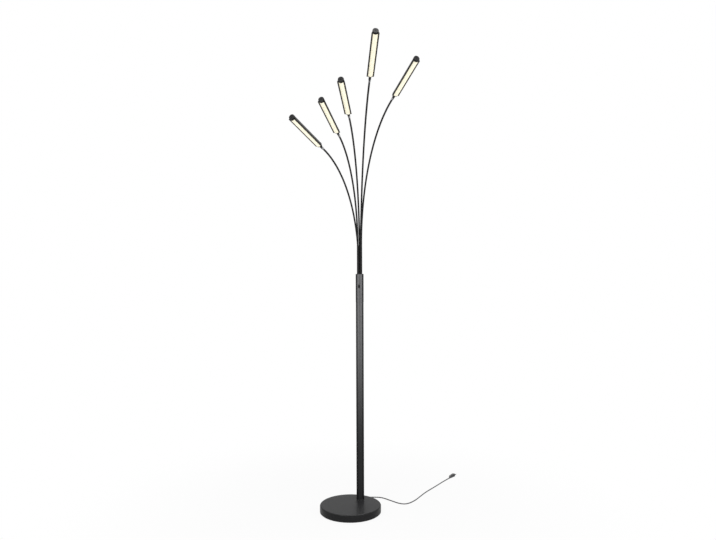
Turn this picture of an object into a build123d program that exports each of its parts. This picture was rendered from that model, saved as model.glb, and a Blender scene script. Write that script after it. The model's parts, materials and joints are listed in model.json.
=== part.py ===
"""Tree floor lamp: a round weighted base, an off-centre post and five arched arms with LED bar heads.

Millimetres. The origin is the centre of the base's underside on the floor, +Z is up and the
arms arch forwards, towards -Y. Azimuths are counted from the front (-Y) towards +X.
"""
import os
from math import cos, radians, sin, tan

from build123d import *

os.makedirs("parts", exist_ok=True)

# --- fits ---------------------------------------------------------------------------------
running_gap = 0.05          # radial gap of a shaft in its bore
slip_gap = 0.1              # gap of a fixed spigot, plug or insert in its tube
free_gap = 0.3              # gap between faces that move past each other

# --- base ---------------------------------------------------------------------------------
base_diameter = 250
pad_thickness = 3
pad_inset = 3
cover_height = 28           # skirt height, from the pad up to the flat top
cover_wall = 2
cover_edge_radius = 4.5
weight_web = 14             # thickness of the cast disc under the cover's top
weight_rim = 12             # radial width of the ring that stands on the pad
weight_gap = 1              # radial gap between the weight and the skirt
post_offset = 40.7          # post axis, to the right of the base's centre
post_back = 67              # and behind it

# --- post ---------------------------------------------------------------------------------
post_diameter = 32
sleeve_diameter = 33
tube_wall = 1.2
post_length = 825           # lower tube, from the cover to the ring
ring_height = 14
sleeve_length = 102
spigot_length = 30
wire_bore = 14
stud_diameter = 10
stud_wall = 1.5
stud_end = 1                # thread that shows past the nut
nut_height = 7
nut_across_flats = 17
washer_diameter = 22
washer_thickness = 1.5
foot_insert_height = 25

# --- arms ---------------------------------------------------------------------------------
rod_diameter = 7
rod_wall = 1
rod_tail = 14               # straight end that takes the knuckle's stub
socket_pitch_radius = 8     # circle that the five rods stand on
socket_height = 28
socket_recess = 2           # the socket's top lies this far below the sleeve's rim
# arm: (bearing of its bore, azimuth of its arch, straight above the post, bend radius, bend angle)
arms = {
    1: (-36, -23.3, 42, 447, 73),
    2: (-108, -13.3, 119, 426, 70.5),
    3: (180, -5.8, 91, 510, 72.1),
    4: (36, 4.1, 20, 729, 65.4),
    5: (108, 17.2, 120, 551, 70.5),
}

# --- push button and dimmer ----------------------------------------------------------------
button_azimuth = -9.5
button_drop = 51            # button centre, below the sleeve's rim
button_height = 14
button_width = 6.4
button_proud = 1.6
button_travel = 1.2
button_flange = 1
button_flange_lip = 1.1     # how far the flange stands past the button all round
dimmer_end_gap = 4          # left between the dimmer and the arms' socket
dimmer_front_gap = 0.5      # left between the pressed button and the dimmer
screw_diameter = 4
screw_key_depth = 2

# --- knuckle ------------------------------------------------------------------------------
knuckle_diameter = 9.4
knuckle_reach = 9           # pivot to the rod's end, and pivot to the head's neck
neck_length = 15            # slim neck between the knuckle and the head's root
neck_flange_diameter = 8    # collar of the neck against the head's root
neck_flange_thickness = 1.5
pivot_diameter = 3
tongue_thickness = 3.4
stub_length = 12
stem_diameter = 5

# --- lamp heads (local frame: pivot at the origin, +Z along the head, light towards -Y) ----
head_length = 244           # pivot to the face of the round tip
back_radius = 10
lip_reach = 11.6            # sideways, to the centre of a lip's corner
lip_drop = 5.5              # towards the light, to the centre of a lip's corner
lip_radius = 1.5
housing_wall = 1.2
cap_thickness = 3
cap_plug_depth = 4
tip_plate_thickness = 2
tip_boss_height = 6.4
round_radius = 10.3         # round ends of the head, which cover the ends of the opal cover
tip_dimple_radius = 3.2
tip_dimple_depth = 0.8
mouth_width = 16.6
diffuser_radius = 9.8       # round of the opal cover, about the head's own axis
diffuser_wall = 1.5
diffuser_foot = 1.2
rail_width = 3.2
rail_thickness = 1.2
rail_drop = 3.6             # the rails' outer face, towards the light
board_thickness = 1.6
chip_count = 24
chip_size = (2.8, 3.5, 0.8)
board_end_gap = 2

# --- mains lead ---------------------------------------------------------------------------
cord_diameter = 4.5
gland_azimuth = -150.5      # where the lead leaves the skirt, at the back
gland_height = 9.5
gland_length = 18
gland_root_diameter = 10
gland_tip_diameter = 7
gland_flange = 1.5
gland_shank_diameter = 8
gland_straight = 16         # first run of the lead, in line with the strain relief
hank_center = (-7, 150)
hank_run_length = 90        # straight part between the end turns
hank_turn_radius = 18.5     # outer turn, on the cord's centre line
hank_pitch = 5
hank_waist = 2.5            # how far the tie draws the runs in
hank_end = 5                # straight end of the tube at either end
hank_lift = 0.8             # the tie's band lies under the hank
tie_thickness = 0.6
tie_width = 8
tie_gap = 0.2
plug_size = (34, 15, 13.6)  # length, width, height of the plug's body
plug_nose = 12              # tapered tail that the cord goes into
plug_heading = 54           # direction that the lead arrives in, from +X towards +Y
pin_length = 19
pin_diameter = 4
pin_spacing = 9

# --- worked out -----------------------------------------------------------------------------
base_radius = base_diameter / 2
cover_top = pad_thickness + cover_height
cover_underside = cover_top - cover_wall
skirt_inner_radius = base_radius - cover_wall
weight_radius = skirt_inner_radius - weight_gap
weight_web_bottom = cover_underside - weight_web
ring_bottom = cover_top + post_length
ring_top = ring_bottom + ring_height
sleeve_top = ring_top + sleeve_length
post_bore_radius = post_diameter / 2 - tube_wall
sleeve_bore_radius = sleeve_diameter / 2 - tube_wall
socket_top = sleeve_top - socket_recess
socket_bottom = socket_top - socket_height
spigot_top = ring_top + spigot_length
dimmer_height = socket_bottom - spigot_top - dimmer_end_gap
button_center_z = sleeve_top - button_drop
head_root = knuckle_reach + neck_length
housing_root = head_root + cap_thickness
housing_tip = head_length - tip_boss_height - tip_plate_thickness
lip_face = -(lip_drop + lip_radius)
post_axis = (post_offset, post_back)


def heading(azimuth):
    """Level direction at an azimuth from the front (-Y) towards +X."""
    return Vector(sin(radians(azimuth)), -cos(radians(azimuth)), 0)


def write(part, name, place=None):
    """Label a finished piece, put it in its place and write its file."""
    piece = part.moved(place) if place else part
    piece.label = name
    export_step(piece, f"parts/{name}.step")


# ============================ base ==========================================================
with BuildPart() as floor_pad:
    Cylinder(base_radius - pad_inset, pad_thickness, align=(Align.CENTER, Align.CENTER, Align.MIN))
    chamfer(floor_pad.edges().group_by(Axis.Z)[0], pad_thickness / 6)
write(floor_pad.part, "floor_pad")

gland_direction = heading(gland_azimuth)
gland_plane = Plane(origin=(0, 0, gland_height), x_dir=(0, 0, 1), z_dir=gland_direction)

with BuildPart() as cover_hollow:
    with BuildSketch(Plane.XY.offset(pad_thickness)):
        Circle(skirt_inner_radius)
    extrude(amount=cover_height - cover_wall)
    fillet(cover_hollow.edges().group_by(Axis.Z)[-1], cover_edge_radius - cover_wall)

with BuildPart() as base_cover:
    with BuildSketch(Plane.XY.offset(pad_thickness)):
        Circle(base_radius)
    extrude(amount=cover_height)
    fillet(base_cover.edges().group_by(Axis.Z)[-1], cover_edge_radius)
    add(cover_hollow.part, mode=Mode.SUBTRACT)
    with BuildSketch(Plane.XY.offset(cover_underside)):
        with Locations(post_axis):
            Circle(stud_diameter / 2 + slip_gap)
    extrude(amount=cover_wall, mode=Mode.SUBTRACT)
    with BuildSketch(gland_plane):
        Circle(gland_shank_diameter / 2 + slip_gap)
    extrude(amount=base_radius + cover_wall, mode=Mode.SUBTRACT)
write(base_cover.part, "base_cover")

with BuildPart() as base_weight:
    with BuildSketch(Plane.XY.offset(pad_thickness)):
        Circle(weight_radius)
    extrude(amount=cover_underside - pad_thickness)
    fillet(base_weight.edges().group_by(Axis.Z)[-1], cover_edge_radius - cover_wall)
    with BuildSketch(Plane.XY.offset(pad_thickness)):
        Circle(weight_radius - weight_rim)
    extrude(amount=weight_web_bottom - pad_thickness, mode=Mode.SUBTRACT)
    with BuildSketch(Plane.XY.offset(pad_thickness)):
        with Locations(post_axis):
            Circle(stud_diameter / 2 + slip_gap)
    extrude(amount=cover_underside, mode=Mode.SUBTRACT)
    with BuildSketch(gland_plane):
        Circle(gland_shank_diameter / 2 + slip_gap)
    extrude(amount=base_radius, mode=Mode.SUBTRACT)
write(base_weight.part, "base_weight")

# Strain relief: a shank through the skirt, a flange against it and a tapered, ribbed tail.
gland_rib_count = 4
gland_rib_groove = 0.5
with BuildPart() as cord_bush:
    with BuildSketch(gland_plane.offset(weight_radius - weight_rim)):
        Circle(gland_shank_diameter / 2)
    extrude(amount=base_radius - weight_radius + weight_rim)
    with BuildSketch(gland_plane.offset(base_radius)):
        Circle(gland_root_diameter / 2)
    with BuildSketch(gland_plane.offset(base_radius + gland_length)):
        Circle(gland_tip_diameter / 2)
    loft()
    with BuildSketch(gland_plane.offset(base_radius)):
        Circle(gland_root_diameter / 2 + gland_flange / 2)
    extrude(amount=gland_flange)
    for rib in range(gland_rib_count):
        share = (rib + 1) / (gland_rib_count + 1)
        groove_radius = (gland_root_diameter + share * (gland_tip_diameter - gland_root_diameter)) / 2
        with BuildSketch(gland_plane.offset(base_radius + share * gland_length)):
            Circle(groove_radius + gland_flange)
            Circle(groove_radius - gland_rib_groove, mode=Mode.SUBTRACT)
        extrude(amount=gland_rib_groove * 2, mode=Mode.SUBTRACT)
write(cord_bush.part, "cord_bush")

# ============================ post ==========================================================
# A welded-in insert carries the hollow stud that goes down through the cover and the weight.
stud_bottom = weight_web_bottom - washer_thickness - nut_height - stud_end
with BuildPart() as post_foot:
    with BuildSketch(Plane.XY.offset(cover_top)):
        with Locations(post_axis):
            Circle(post_bore_radius - slip_gap)
    extrude(amount=foot_insert_height)
    with BuildSketch(Plane.XY.offset(stud_bottom)):
        with Locations(post_axis):
            Circle(stud_diameter / 2)
    extrude(amount=cover_top - stud_bottom + foot_insert_height)
    with BuildSketch(Plane.XY.offset(stud_bottom)):
        with Locations(post_axis):
            Circle(stud_diameter / 2 - stud_wall)
    extrude(amount=cover_top - stud_bottom + foot_insert_height, mode=Mode.SUBTRACT)
write(post_foot.part, "post_foot")

with BuildPart() as base_nut:
    with BuildSketch(Plane.XY.offset(weight_web_bottom - washer_thickness)):
        with Locations(post_axis):
            Circle(washer_diameter / 2)
    extrude(amount=washer_thickness)
    with BuildSketch(Plane.XY.offset(weight_web_bottom - washer_thickness - nut_height)):
        with Locations(post_axis):
            RegularPolygon(nut_across_flats / 2, 6, major_radius=False)
    extrude(amount=nut_height)
    with BuildSketch(Plane.XY.offset(stud_bottom)):
        with Locations(post_axis):
            Circle(stud_diameter / 2 + running_gap)
    extrude(amount=cover_top, mode=Mode.SUBTRACT)
write(base_nut.part, "base_nut")

with BuildPart() as post_lower:
    with BuildSketch(Plane.XY.offset(cover_top)):
        with Locations(post_axis):
            Circle(post_diameter / 2)
            Circle(post_bore_radius, mode=Mode.SUBTRACT)
    extrude(amount=post_length)
write(post_lower.part, "post_lower")

with BuildPart() as post_coupler:
    with BuildSketch(Plane.XY.offset(ring_bottom)):
        with Locations(post_axis):
            Circle(sleeve_diameter / 2)
    extrude(amount=ring_height)
    chamfer(post_coupler.edges().group_by(Axis.Z)[-1], 0.5)
    chamfer(post_coupler.edges().group_by(Axis.Z)[0], 0.5)
    with BuildSketch(Plane.XY.offset(ring_bottom - spigot_length)):
        with Locations(post_axis):
            Circle(post_bore_radius - slip_gap)
    extrude(amount=spigot_length)
    with BuildSketch(Plane.XY.offset(ring_top)):
        with Locations(post_axis):
            Circle(sleeve_bore_radius - slip_gap)
    extrude(amount=spigot_length)
    with BuildSketch(Plane.XY.offset(ring_bottom - spigot_length)):
        with Locations(post_axis):
            Circle(wire_bore / 2)
    extrude(amount=ring_height + 2 * spigot_length, mode=Mode.SUBTRACT)
write(post_coupler.part, "post_coupler")

button_direction = heading(button_azimuth)
button_plane = Plane(
    origin=(post_offset, post_back, button_center_z), x_dir=(0, 0, 1), z_dir=button_direction)
screw_z = socket_top - socket_height / 2
screw_plane = Plane(origin=(post_offset, post_back, screw_z), x_dir=(0, 0, 1), z_dir=(0, 1, 0))
rod_circle = socket_pitch_radius + rod_diameter / 2

with BuildPart() as post_upper:
    with BuildSketch(Plane.XY.offset(ring_top)):
        with Locations(post_axis):
            Circle(sleeve_diameter / 2)
            Circle(sleeve_bore_radius, mode=Mode.SUBTRACT)
    extrude(amount=sleeve_length)
    fillet(post_upper.edges().group_by(Axis.Z)[-1].sort_by(SortBy.LENGTH)[-1], tube_wall / 2)
    with BuildSketch(button_plane):
        SlotOverall(button_height + 2 * slip_gap, button_width + 2 * slip_gap)
    extrude(amount=sleeve_diameter, mode=Mode.SUBTRACT)
    with BuildSketch(screw_plane):
        Circle(screw_diameter / 2)
    extrude(amount=sleeve_diameter, mode=Mode.SUBTRACT)
write(post_upper.part, "post_upper")

with BuildPart() as arm_socket:
    with BuildSketch(Plane.XY.offset(socket_bottom)):
        with Locations(post_axis):
            Circle(sleeve_bore_radius - slip_gap)
        for bearing, *_ in arms.values():
            with Locations(Vector(post_offset, post_back) + heading(bearing) * socket_pitch_radius):
                Circle(rod_diameter / 2 + running_gap, mode=Mode.SUBTRACT)
    extrude(amount=socket_height)
    with BuildSketch(screw_plane.offset(rod_circle)):
        Circle(screw_diameter / 2)
    extrude(amount=sleeve_diameter, mode=Mode.SUBTRACT)
write(arm_socket.part, "arm_socket")

with BuildPart() as socket_screw:
    with BuildSketch(screw_plane.offset(rod_circle + free_gap)):
        Circle(screw_diameter / 2 - running_gap)
    extrude(amount=sleeve_diameter / 2 - rod_circle - free_gap)
    with BuildSketch(screw_plane.offset(sleeve_diameter / 2 - screw_key_depth)):
        RegularPolygon(screw_diameter / 4, 6)
    extrude(amount=screw_key_depth, mode=Mode.SUBTRACT)
write(socket_screw.part, "socket_screw")

# The button's flange lies behind the sleeve's wall, and stops it from coming out.
flange_half_width = button_width / 2 + button_flange_lip
flange_front = (sleeve_bore_radius**2 - flange_half_width**2) ** 0.5 - free_gap
flange_back = flange_front - button_flange
with BuildPart() as push_button:
    with BuildSketch(button_plane.offset(flange_front)):
        SlotOverall(button_height, button_width)
    extrude(amount=sleeve_diameter / 2 + button_proud - flange_front)
    fillet(push_button.faces().sort_by(Axis(button_plane.origin, button_direction))[-1].edges(), 0.8)
    with BuildSketch(button_plane.offset(flange_back)):
        SlotOverall(button_height + 2 * button_flange_lip, button_width + 2 * button_flange_lip)
    extrude(amount=button_flange)
write(push_button.part, "push_button")

dimmer_front = flange_back - button_travel - dimmer_front_gap
with BuildPart() as dimmer_module:
    with BuildSketch(Plane.XY.offset(spigot_top)):
        with Locations(post_axis):
            Circle(sleeve_bore_radius - slip_gap)
    extrude(amount=dimmer_height)
    with BuildSketch(button_plane.offset(dimmer_front)):
        Rectangle(4 * dimmer_height, 2 * sleeve_diameter)
    extrude(amount=sleeve_diameter, mode=Mode.SUBTRACT)
    with BuildSketch(Plane.XY.offset(spigot_top)):
        with Locations(Vector(post_offset, post_back) - button_direction * (sleeve_bore_radius - wire_bore / 4)):
            Circle(wire_bore / 4)
    extrude(amount=dimmer_height, mode=Mode.SUBTRACT)
write(dimmer_module.part, "dimmer_module")

# ============================ knuckle, in the head's local frame ============================
ear_gap = tongue_thickness + 2 * free_gap
knuckle_radius = knuckle_diameter / 2
eye_radius = knuckle_radius - free_gap
collar_start = knuckle_radius + 2 * free_gap
with BuildPart() as swivel_fork:
    with BuildSketch(Plane.XY.offset(free_gap - knuckle_reach)):
        Circle(knuckle_radius)
    extrude(amount=knuckle_reach - free_gap + knuckle_radius)
    with BuildSketch(Plane.YZ):
        with Locations((0, -knuckle_reach / 2)):
            Rectangle(knuckle_diameter, knuckle_reach)
        Circle(knuckle_radius)
    extrude(amount=knuckle_diameter, both=True, mode=Mode.INTERSECT)
    with BuildSketch(Plane.XZ):
        Rectangle(ear_gap, 2 * collar_start)
    extrude(amount=knuckle_diameter, both=True, mode=Mode.SUBTRACT)
    with BuildSketch(Plane.YZ.offset(0.2 - knuckle_radius)):
        Circle(pivot_diameter / 2)
    extrude(amount=knuckle_diameter - 0.4)
    with BuildSketch(Plane.XY.offset(-knuckle_reach - stub_length)):
        Circle(rod_diameter / 2 - rod_wall - running_gap)
    extrude(amount=stub_length + free_gap)

with BuildPart() as head_tongue:
    with BuildSketch(Plane.YZ.offset(-tongue_thickness / 2)):
        Circle(eye_radius)
        with Locations((0, collar_start / 2)):
            Rectangle(2 * eye_radius, collar_start)
    extrude(amount=tongue_thickness)
    with BuildSketch(Plane.YZ.offset(-tongue_thickness / 2)):
        Circle(pivot_diameter / 2 + running_gap)
    extrude(amount=tongue_thickness, mode=Mode.SUBTRACT)
    with BuildSketch(Plane.XY.offset(collar_start)):
        Circle(knuckle_radius)
    extrude(amount=knuckle_reach - collar_start)
    with BuildSketch(Plane.XY.offset(knuckle_reach)):
        Circle(stem_diameter / 2)
    extrude(amount=neck_length + cap_thickness + cap_plug_depth)
    with BuildSketch(Plane.XY.offset(head_root - neck_flange_thickness)):
        Circle(neck_flange_diameter / 2)
    extrude(amount=neck_flange_thickness)

# ============================ lamp head, in its local frame ==================================
# The housing's outline: a round back that flares to two lips, cut flat at the lips' face.
with BuildSketch() as outline:
    Circle(back_radius)
    with Locations((-lip_reach, -lip_drop), (lip_reach, -lip_drop)):
        Circle(lip_radius)
    make_hull()
    with Locations((0, lip_face)):
        Rectangle(4 * lip_reach, 4 * back_radius, align=(Align.CENTER, Align.MIN),
                  mode=Mode.INTERSECT)
outer_section = outline.sketch
inner_section = offset(outer_section, -housing_wall)
with BuildSketch() as round_section:
    add(outer_section)
    Circle(round_radius)
end_section = round_section.sketch

# The two rails carry the LED board: they run from the side walls, just inside the lips.
cavity_top = back_radius - housing_wall
flare = (lip_reach + lip_radius - back_radius) / lip_drop
rail_center_y = -rail_drop + rail_thickness / 2
rail_outer_x = back_radius + flare * abs(rail_center_y)
rail_inner_x = rail_outer_x - rail_width
with BuildPart() as head_housing:
    with BuildSketch(Plane.XY.offset(housing_root)):
        add(outer_section)
        add(inner_section, mode=Mode.SUBTRACT)
        with Locations((0, lip_face)):
            Rectangle(mouth_width, 2 * (lip_radius + housing_wall), mode=Mode.SUBTRACT)
        with Locations((-(rail_outer_x + rail_inner_x) / 2, rail_center_y),
                       ((rail_outer_x + rail_inner_x) / 2, rail_center_y)):
            Rectangle(rail_width, rail_thickness)
    extrude(amount=housing_tip - housing_root)

# Opal cover: a round front in the mouth between the lips, and a foot on either side behind them.
crown_half = mouth_width / 2 - slip_gap
foot_bottom = lip_face + housing_wall + slip_gap
foot_top = foot_bottom + diffuser_foot
foot_half = lip_reach - 3 * slip_gap
with BuildPart() as diffuser:
    with BuildSketch(Plane.XY.offset(housing_root)):
        Circle(diffuser_radius)
        Rectangle(2 * crown_half, 2 * diffuser_radius, mode=Mode.INTERSECT)
        with Locations((0, foot_top)):
            Rectangle(2 * crown_half, diffuser_radius, align=(Align.CENTER, Align.MAX),
                      mode=Mode.INTERSECT)
        with Locations((0, foot_bottom)):
            Rectangle(2 * foot_half, diffuser_foot, align=(Align.CENTER, Align.MIN))
    extrude(amount=housing_tip - housing_root)
    with BuildSketch(Plane.XY.offset(housing_root + diffuser_wall)):
        Circle(diffuser_radius - diffuser_wall)
        Rectangle(2 * (crown_half - diffuser_wall), 2 * diffuser_radius, mode=Mode.INTERSECT)
        Rectangle(2 * diffuser_radius, diffuser_radius, align=(Align.CENTER, Align.MAX),
                  mode=Mode.INTERSECT)
    extrude(amount=housing_tip - housing_root - 2 * diffuser_wall, mode=Mode.SUBTRACT)

board_bottom = -rail_drop + rail_thickness
board_length = housing_tip - housing_root - 2 * (cap_plug_depth + board_end_gap)
board_center_z = (housing_tip + housing_root) / 2
board_half = back_radius - housing_wall / 2
board_plane = Plane(origin=(0, board_bottom, board_center_z), x_dir=(1, 0, 0), z_dir=(0, -1, 0))
with BuildPart() as led_board:
    with BuildSketch(board_plane):
        Rectangle(2 * board_half, board_length)
    extrude(amount=-board_thickness)
    with BuildSketch(board_plane):
        with GridLocations(0, board_length / chip_count, 1, chip_count):
            Rectangle(chip_size[0], chip_size[1])
    extrude(amount=chip_size[2])

plug_radius = cavity_top - slip_gap
plug_flat_y = board_bottom + board_thickness + free_gap
with BuildPart() as root_cap:
    with BuildSketch(Plane.XY.offset(head_root)):
        add(end_section)
    extrude(amount=cap_thickness)
    fillet(root_cap.edges().group_by(Axis.Z)[0], 0.8)
    with BuildSketch(Plane.XY.offset(housing_root)):
        Circle(plug_radius)
        with Locations((0, plug_flat_y)):
            Rectangle(4 * plug_radius, 4 * plug_radius, align=(Align.CENTER, Align.MIN),
                      mode=Mode.INTERSECT)
    extrude(amount=cap_plug_depth)
    with BuildSketch(Plane.XY.offset(head_root)):
        Circle(stem_diameter / 2 + running_gap)
    extrude(amount=cap_thickness + cap_plug_depth, mode=Mode.SUBTRACT)

with BuildPart() as tip_cap:
    with BuildSketch(Plane.XY.offset(housing_tip)):
        add(end_section)
    extrude(amount=tip_plate_thickness)
    with BuildSketch(Plane.XY.offset(housing_tip + tip_plate_thickness)):
        Circle(round_radius)
    extrude(amount=tip_boss_height)
    fillet(tip_cap.edges().group_by(Axis.Z)[-1], 1.2)
    with BuildSketch(Plane.XY.offset(head_length - tip_dimple_depth)):
        Circle(tip_dimple_radius)
        Circle(tip_dimple_radius / 2, mode=Mode.SUBTRACT)
    extrude(amount=tip_dimple_depth, mode=Mode.SUBTRACT)
    with BuildSketch(Plane.XY.offset(housing_tip - cap_plug_depth)):
        Circle(plug_radius)
        with Locations((0, plug_flat_y)):
            Rectangle(4 * plug_radius, 4 * plug_radius, align=(Align.CENTER, Align.MIN),
                      mode=Mode.INTERSECT)
    extrude(amount=cap_plug_depth)

# ============================ arms, each with its knuckle and head ===========================
for number, (bearing, azimuth, straight, bend_radius, bend_angle) in arms.items():
    foot = Vector(post_offset, post_back, socket_bottom) + heading(bearing) * socket_pitch_radius
    forward = heading(azimuth)
    rise = sleeve_top - socket_bottom + straight
    arch_plane = Plane(origin=foot, x_dir=forward, z_dir=forward.cross(Vector(0, 0, 1)))
    with BuildPart() as arm_rod:
        with BuildLine(arch_plane):
            stem_line = Line((0, 0), (0, rise))
            arch_line = JernArc(stem_line @ 1, stem_line % 1, bend_radius, -bend_angle)
            Line(arch_line @ 1, arch_line @ 1 + (arch_line % 1) * rod_tail)
        with BuildSketch(Plane(origin=foot, z_dir=(0, 0, 1))):
            Circle(rod_diameter / 2)
            Circle(rod_diameter / 2 - rod_wall, mode=Mode.SUBTRACT)
        sweep()
    write(arm_rod.part, f"arm_rod_{number}")

    lean = radians(bend_angle)
    arch_end = (foot + Vector(0, 0, rise) + forward * bend_radius * (1 - cos(lean))
                + Vector(0, 0, bend_radius * sin(lean)))
    along = forward * sin(lean) + Vector(0, 0, cos(lean))
    pivot = arch_end + along * (rod_tail + knuckle_reach)
    across = Vector(cos(radians(azimuth)), sin(radians(azimuth)), 0)
    head_place = Plane(origin=pivot, x_dir=across, z_dir=along).location
    write(swivel_fork.part, f"swivel_fork_{number}", head_place)
    write(head_tongue.part, f"head_tongue_{number}", head_place)
    write(root_cap.part, f"root_cap_{number}", head_place)
    write(head_housing.part, f"head_housing_{number}", head_place)
    write(led_board.part, f"led_board_{number}", head_place)
    write(diffuser.part, f"diffuser_{number}", head_place)
    write(tip_cap.part, f"tip_cap_{number}", head_place)
    print(f"head {number}: pivot {tuple(round(v, 3) for v in pivot)}"
          f" along {tuple(round(v, 5) for v in along)} across {tuple(round(v, 5) for v in across)}")

# ============================ mains lead =====================================================
cord_radius = cord_diameter / 2
floor_z = cord_radius
hank_z = cord_radius + hank_lift
upper_z = hank_z + hank_pitch
hank_x, hank_y = hank_center
half_run = hank_run_length / 2
inner_turn = hank_turn_radius - hank_pitch
far_y = hank_y + hank_turn_radius
gland_exit = gland_direction * (base_radius + gland_length) + Vector(0, 0, gland_height)

# From the strain relief round the hank's left end, down to the floor.
lead_in_points = [
    gland_exit,
    gland_exit + gland_direction * gland_straight,
    Vector(-80.5, 157.0, 5.4),
    Vector(-66.5, far_y, hank_z),
    Vector(-48.5, far_y, hank_z),
]
# From the hank's upper layer out to the right, round in front of its own line and away.
lead_out_points = [
    Vector(hank_x + half_run, far_y, upper_z),
    Vector(46, far_y, upper_z),
    Vector(62, 168.3, floor_z),
    Vector(99, 168.6, floor_z),
    Vector(132, 165.0, floor_z),
    Vector(160, 136.5, floor_z),
    Vector(186, 107.5, floor_z),
    Vector(206, 88.5, floor_z),
    Vector(229, 80.5, floor_z),
    Vector(253, 96.5, floor_z),
    Vector(277, 130, floor_z),
    Vector(300, 174, floor_z),
    Vector(328, 228, floor_z),
    Vector(363, 281, floor_z),
    Vector(396, 332, floor_z),
    Vector(427, 382, floor_z),
    Vector(458, 426, floor_z),
]


def bend_radii(points):
    """Radius of each corner's arc: 0.45 of the shorter run over the tangent of half the turn."""
    radii = []
    for before, corner, after in zip(points, points[1:], points[2:]):
        turn = (corner - before).get_angle(after - corner)
        shorter = min((corner - before).length, (after - corner).length)
        radii.append(0.45 * shorter / tan(radians(turn) / 2))
    return radii


def cord_tube(points, name):
    """A round cord along straight runs joined by tangent arcs."""
    radii = bend_radii(points)
    with BuildPart() as tube:
        with BuildLine() as route:
            FilletPolyline(*points, radius=radii)
        with BuildSketch(Plane(origin=points[0], z_dir=points[1] - points[0])):
            Circle(cord_radius)
        sweep()
    write(tube.part, name)
    length = route.wires()[0].length
    print(f"{name}: length {length:.1f}, least bend radius {min(radii):.1f}, volume over section"
          f" times length {tube.part.volume / (Circle(cord_radius).area * length):.5f}")
    return length


lead_in_length = cord_tube(lead_in_points, "cord_lead")
lead_out_length = cord_tube(lead_out_points, "mains_lead")

# Put-away hank: two loops in the lower layer, a climb along one run and two loops on top.
# Each run is (level to level, height of its line); + is the far side, where runs go to +X.
hank_runs = [
    (hank_z, hank_z, hank_turn_radius),
    (hank_z, hank_z, -hank_turn_radius),
    (hank_z, hank_z, inner_turn),
    (hank_z, upper_z, -inner_turn),
    (upper_z, upper_z, inner_turn),
    (upper_z, upper_z, -hank_turn_radius),
    (upper_z, upper_z, hank_turn_radius),
]


def ease(start, end, direction):
    """Two tangent arcs that shift a level run sideways or upwards by a little."""
    middle = (start + end) * 0.5
    first = TangentArc(start, middle, tangent=direction)
    TangentArc(middle, end, tangent=first % 1)


with BuildPart() as cord_hank:
    with BuildLine() as hank_path:
        last = None
        for index, (start_z, end_z, side) in enumerate(hank_runs):
            sense = 1 if side > 0 else -1
            start = Vector(hank_x - sense * half_run, hank_y + side, start_z)
            waist = Vector(hank_x, hank_y + side - sense * hank_waist, (start_z + end_z) / 2)
            end = Vector(hank_x + sense * half_run, hank_y + side, end_z)
            if last:
                TangentArc(last, start, tangent=(-sense, 0, 0))
            else:
                start = lead_in_points[-1] + Vector(hank_end, 0, 0)
                Line(lead_in_points[-1], start)
            if index == len(hank_runs) - 1:
                end -= Vector(hank_end, 0, 0)
            ease(start, waist, (sense, 0, 0))
            ease(waist, end, (sense, 0, 0))
            last = end
        Line(last, last + Vector(hank_end, 0, 0))
    with BuildSketch(Plane(origin=lead_in_points[-1], z_dir=(1, 0, 0))):
        Circle(cord_radius)
    sweep()
write(cord_hank.part, "cord_hank")

hank_wire = hank_path.wires()[0]
hank_length = hank_wire.length
sample_count = 600
samples = [hank_wire @ (i / sample_count) for i in range(sample_count + 1)]
apart = int(sample_count * 2 * cord_diameter / hank_length) + 1
self_gap = min((samples[i] - samples[j]).length
               for i in range(sample_count + 1) for j in range(i + apart, sample_count + 1))
print(f"cord_hank: length {hank_length:.1f}, least turn radius {inner_turn:.1f}, least self-gap"
      f" {self_gap - cord_diameter:.2f}, volume over section times length"
      f" {cord_hank.part.volume / (Circle(cord_radius).area * hank_length):.5f}")

# The tie goes once round the waist, over and under both stacks of runs.
tie_half_width = hank_turn_radius - hank_waist + cord_radius + tie_gap
tie_inner_height = 2 * cord_radius + hank_pitch + 2 * tie_gap
tie_plane = Plane(origin=(hank_x - tie_width / 2, hank_y, hank_lift - tie_gap), x_dir=(0, 1, 0),
                  z_dir=(1, 0, 0))
with BuildPart() as cord_tie:
    with BuildSketch(tie_plane):
        with Locations((0, tie_inner_height / 2)):
            RectangleRounded(2 * (tie_half_width + tie_thickness), tie_inner_height + 2 * tie_thickness,
                             cord_radius + tie_thickness)
            RectangleRounded(2 * tie_half_width, tie_inner_height, cord_radius, mode=Mode.SUBTRACT)
    extrude(amount=tie_width)
write(cord_tie.part, "cord_tie")

# Flat two-pin plug, lying on its side at the end of the lead.
plug_length, plug_width, plug_height = plug_size
plug_root = lead_out_points[-1]
plug_direction = Vector(cos(radians(plug_heading)), sin(radians(plug_heading)), 0)
plug_plane = Plane(origin=(plug_root.X, plug_root.Y, 0), x_dir=(0, 0, 1), z_dir=plug_direction)
with BuildPart() as mains_plug:
    with BuildSketch(plug_plane):
        with Locations((floor_z, 0)):
            Circle(floor_z)
    with BuildSketch(plug_plane.offset(plug_nose)):
        with Locations((plug_height / 2, 0)):
            RectangleRounded(plug_height, plug_width * 0.7, plug_width / 4)
    with BuildSketch(plug_plane.offset(plug_nose + plug_length * 0.75)):
        with Locations((plug_height / 2, 0)):
            RectangleRounded(plug_height, plug_width, plug_width / 4)
    loft(ruled=True)
    with BuildSketch(plug_plane.offset(plug_nose + plug_length * 0.75)):
        with Locations((plug_height / 2, 0)):
            RectangleRounded(plug_height, plug_width, plug_width / 4)
    extrude(amount=plug_length * 0.25)
write(mains_plug.part, "mains_plug")

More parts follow.
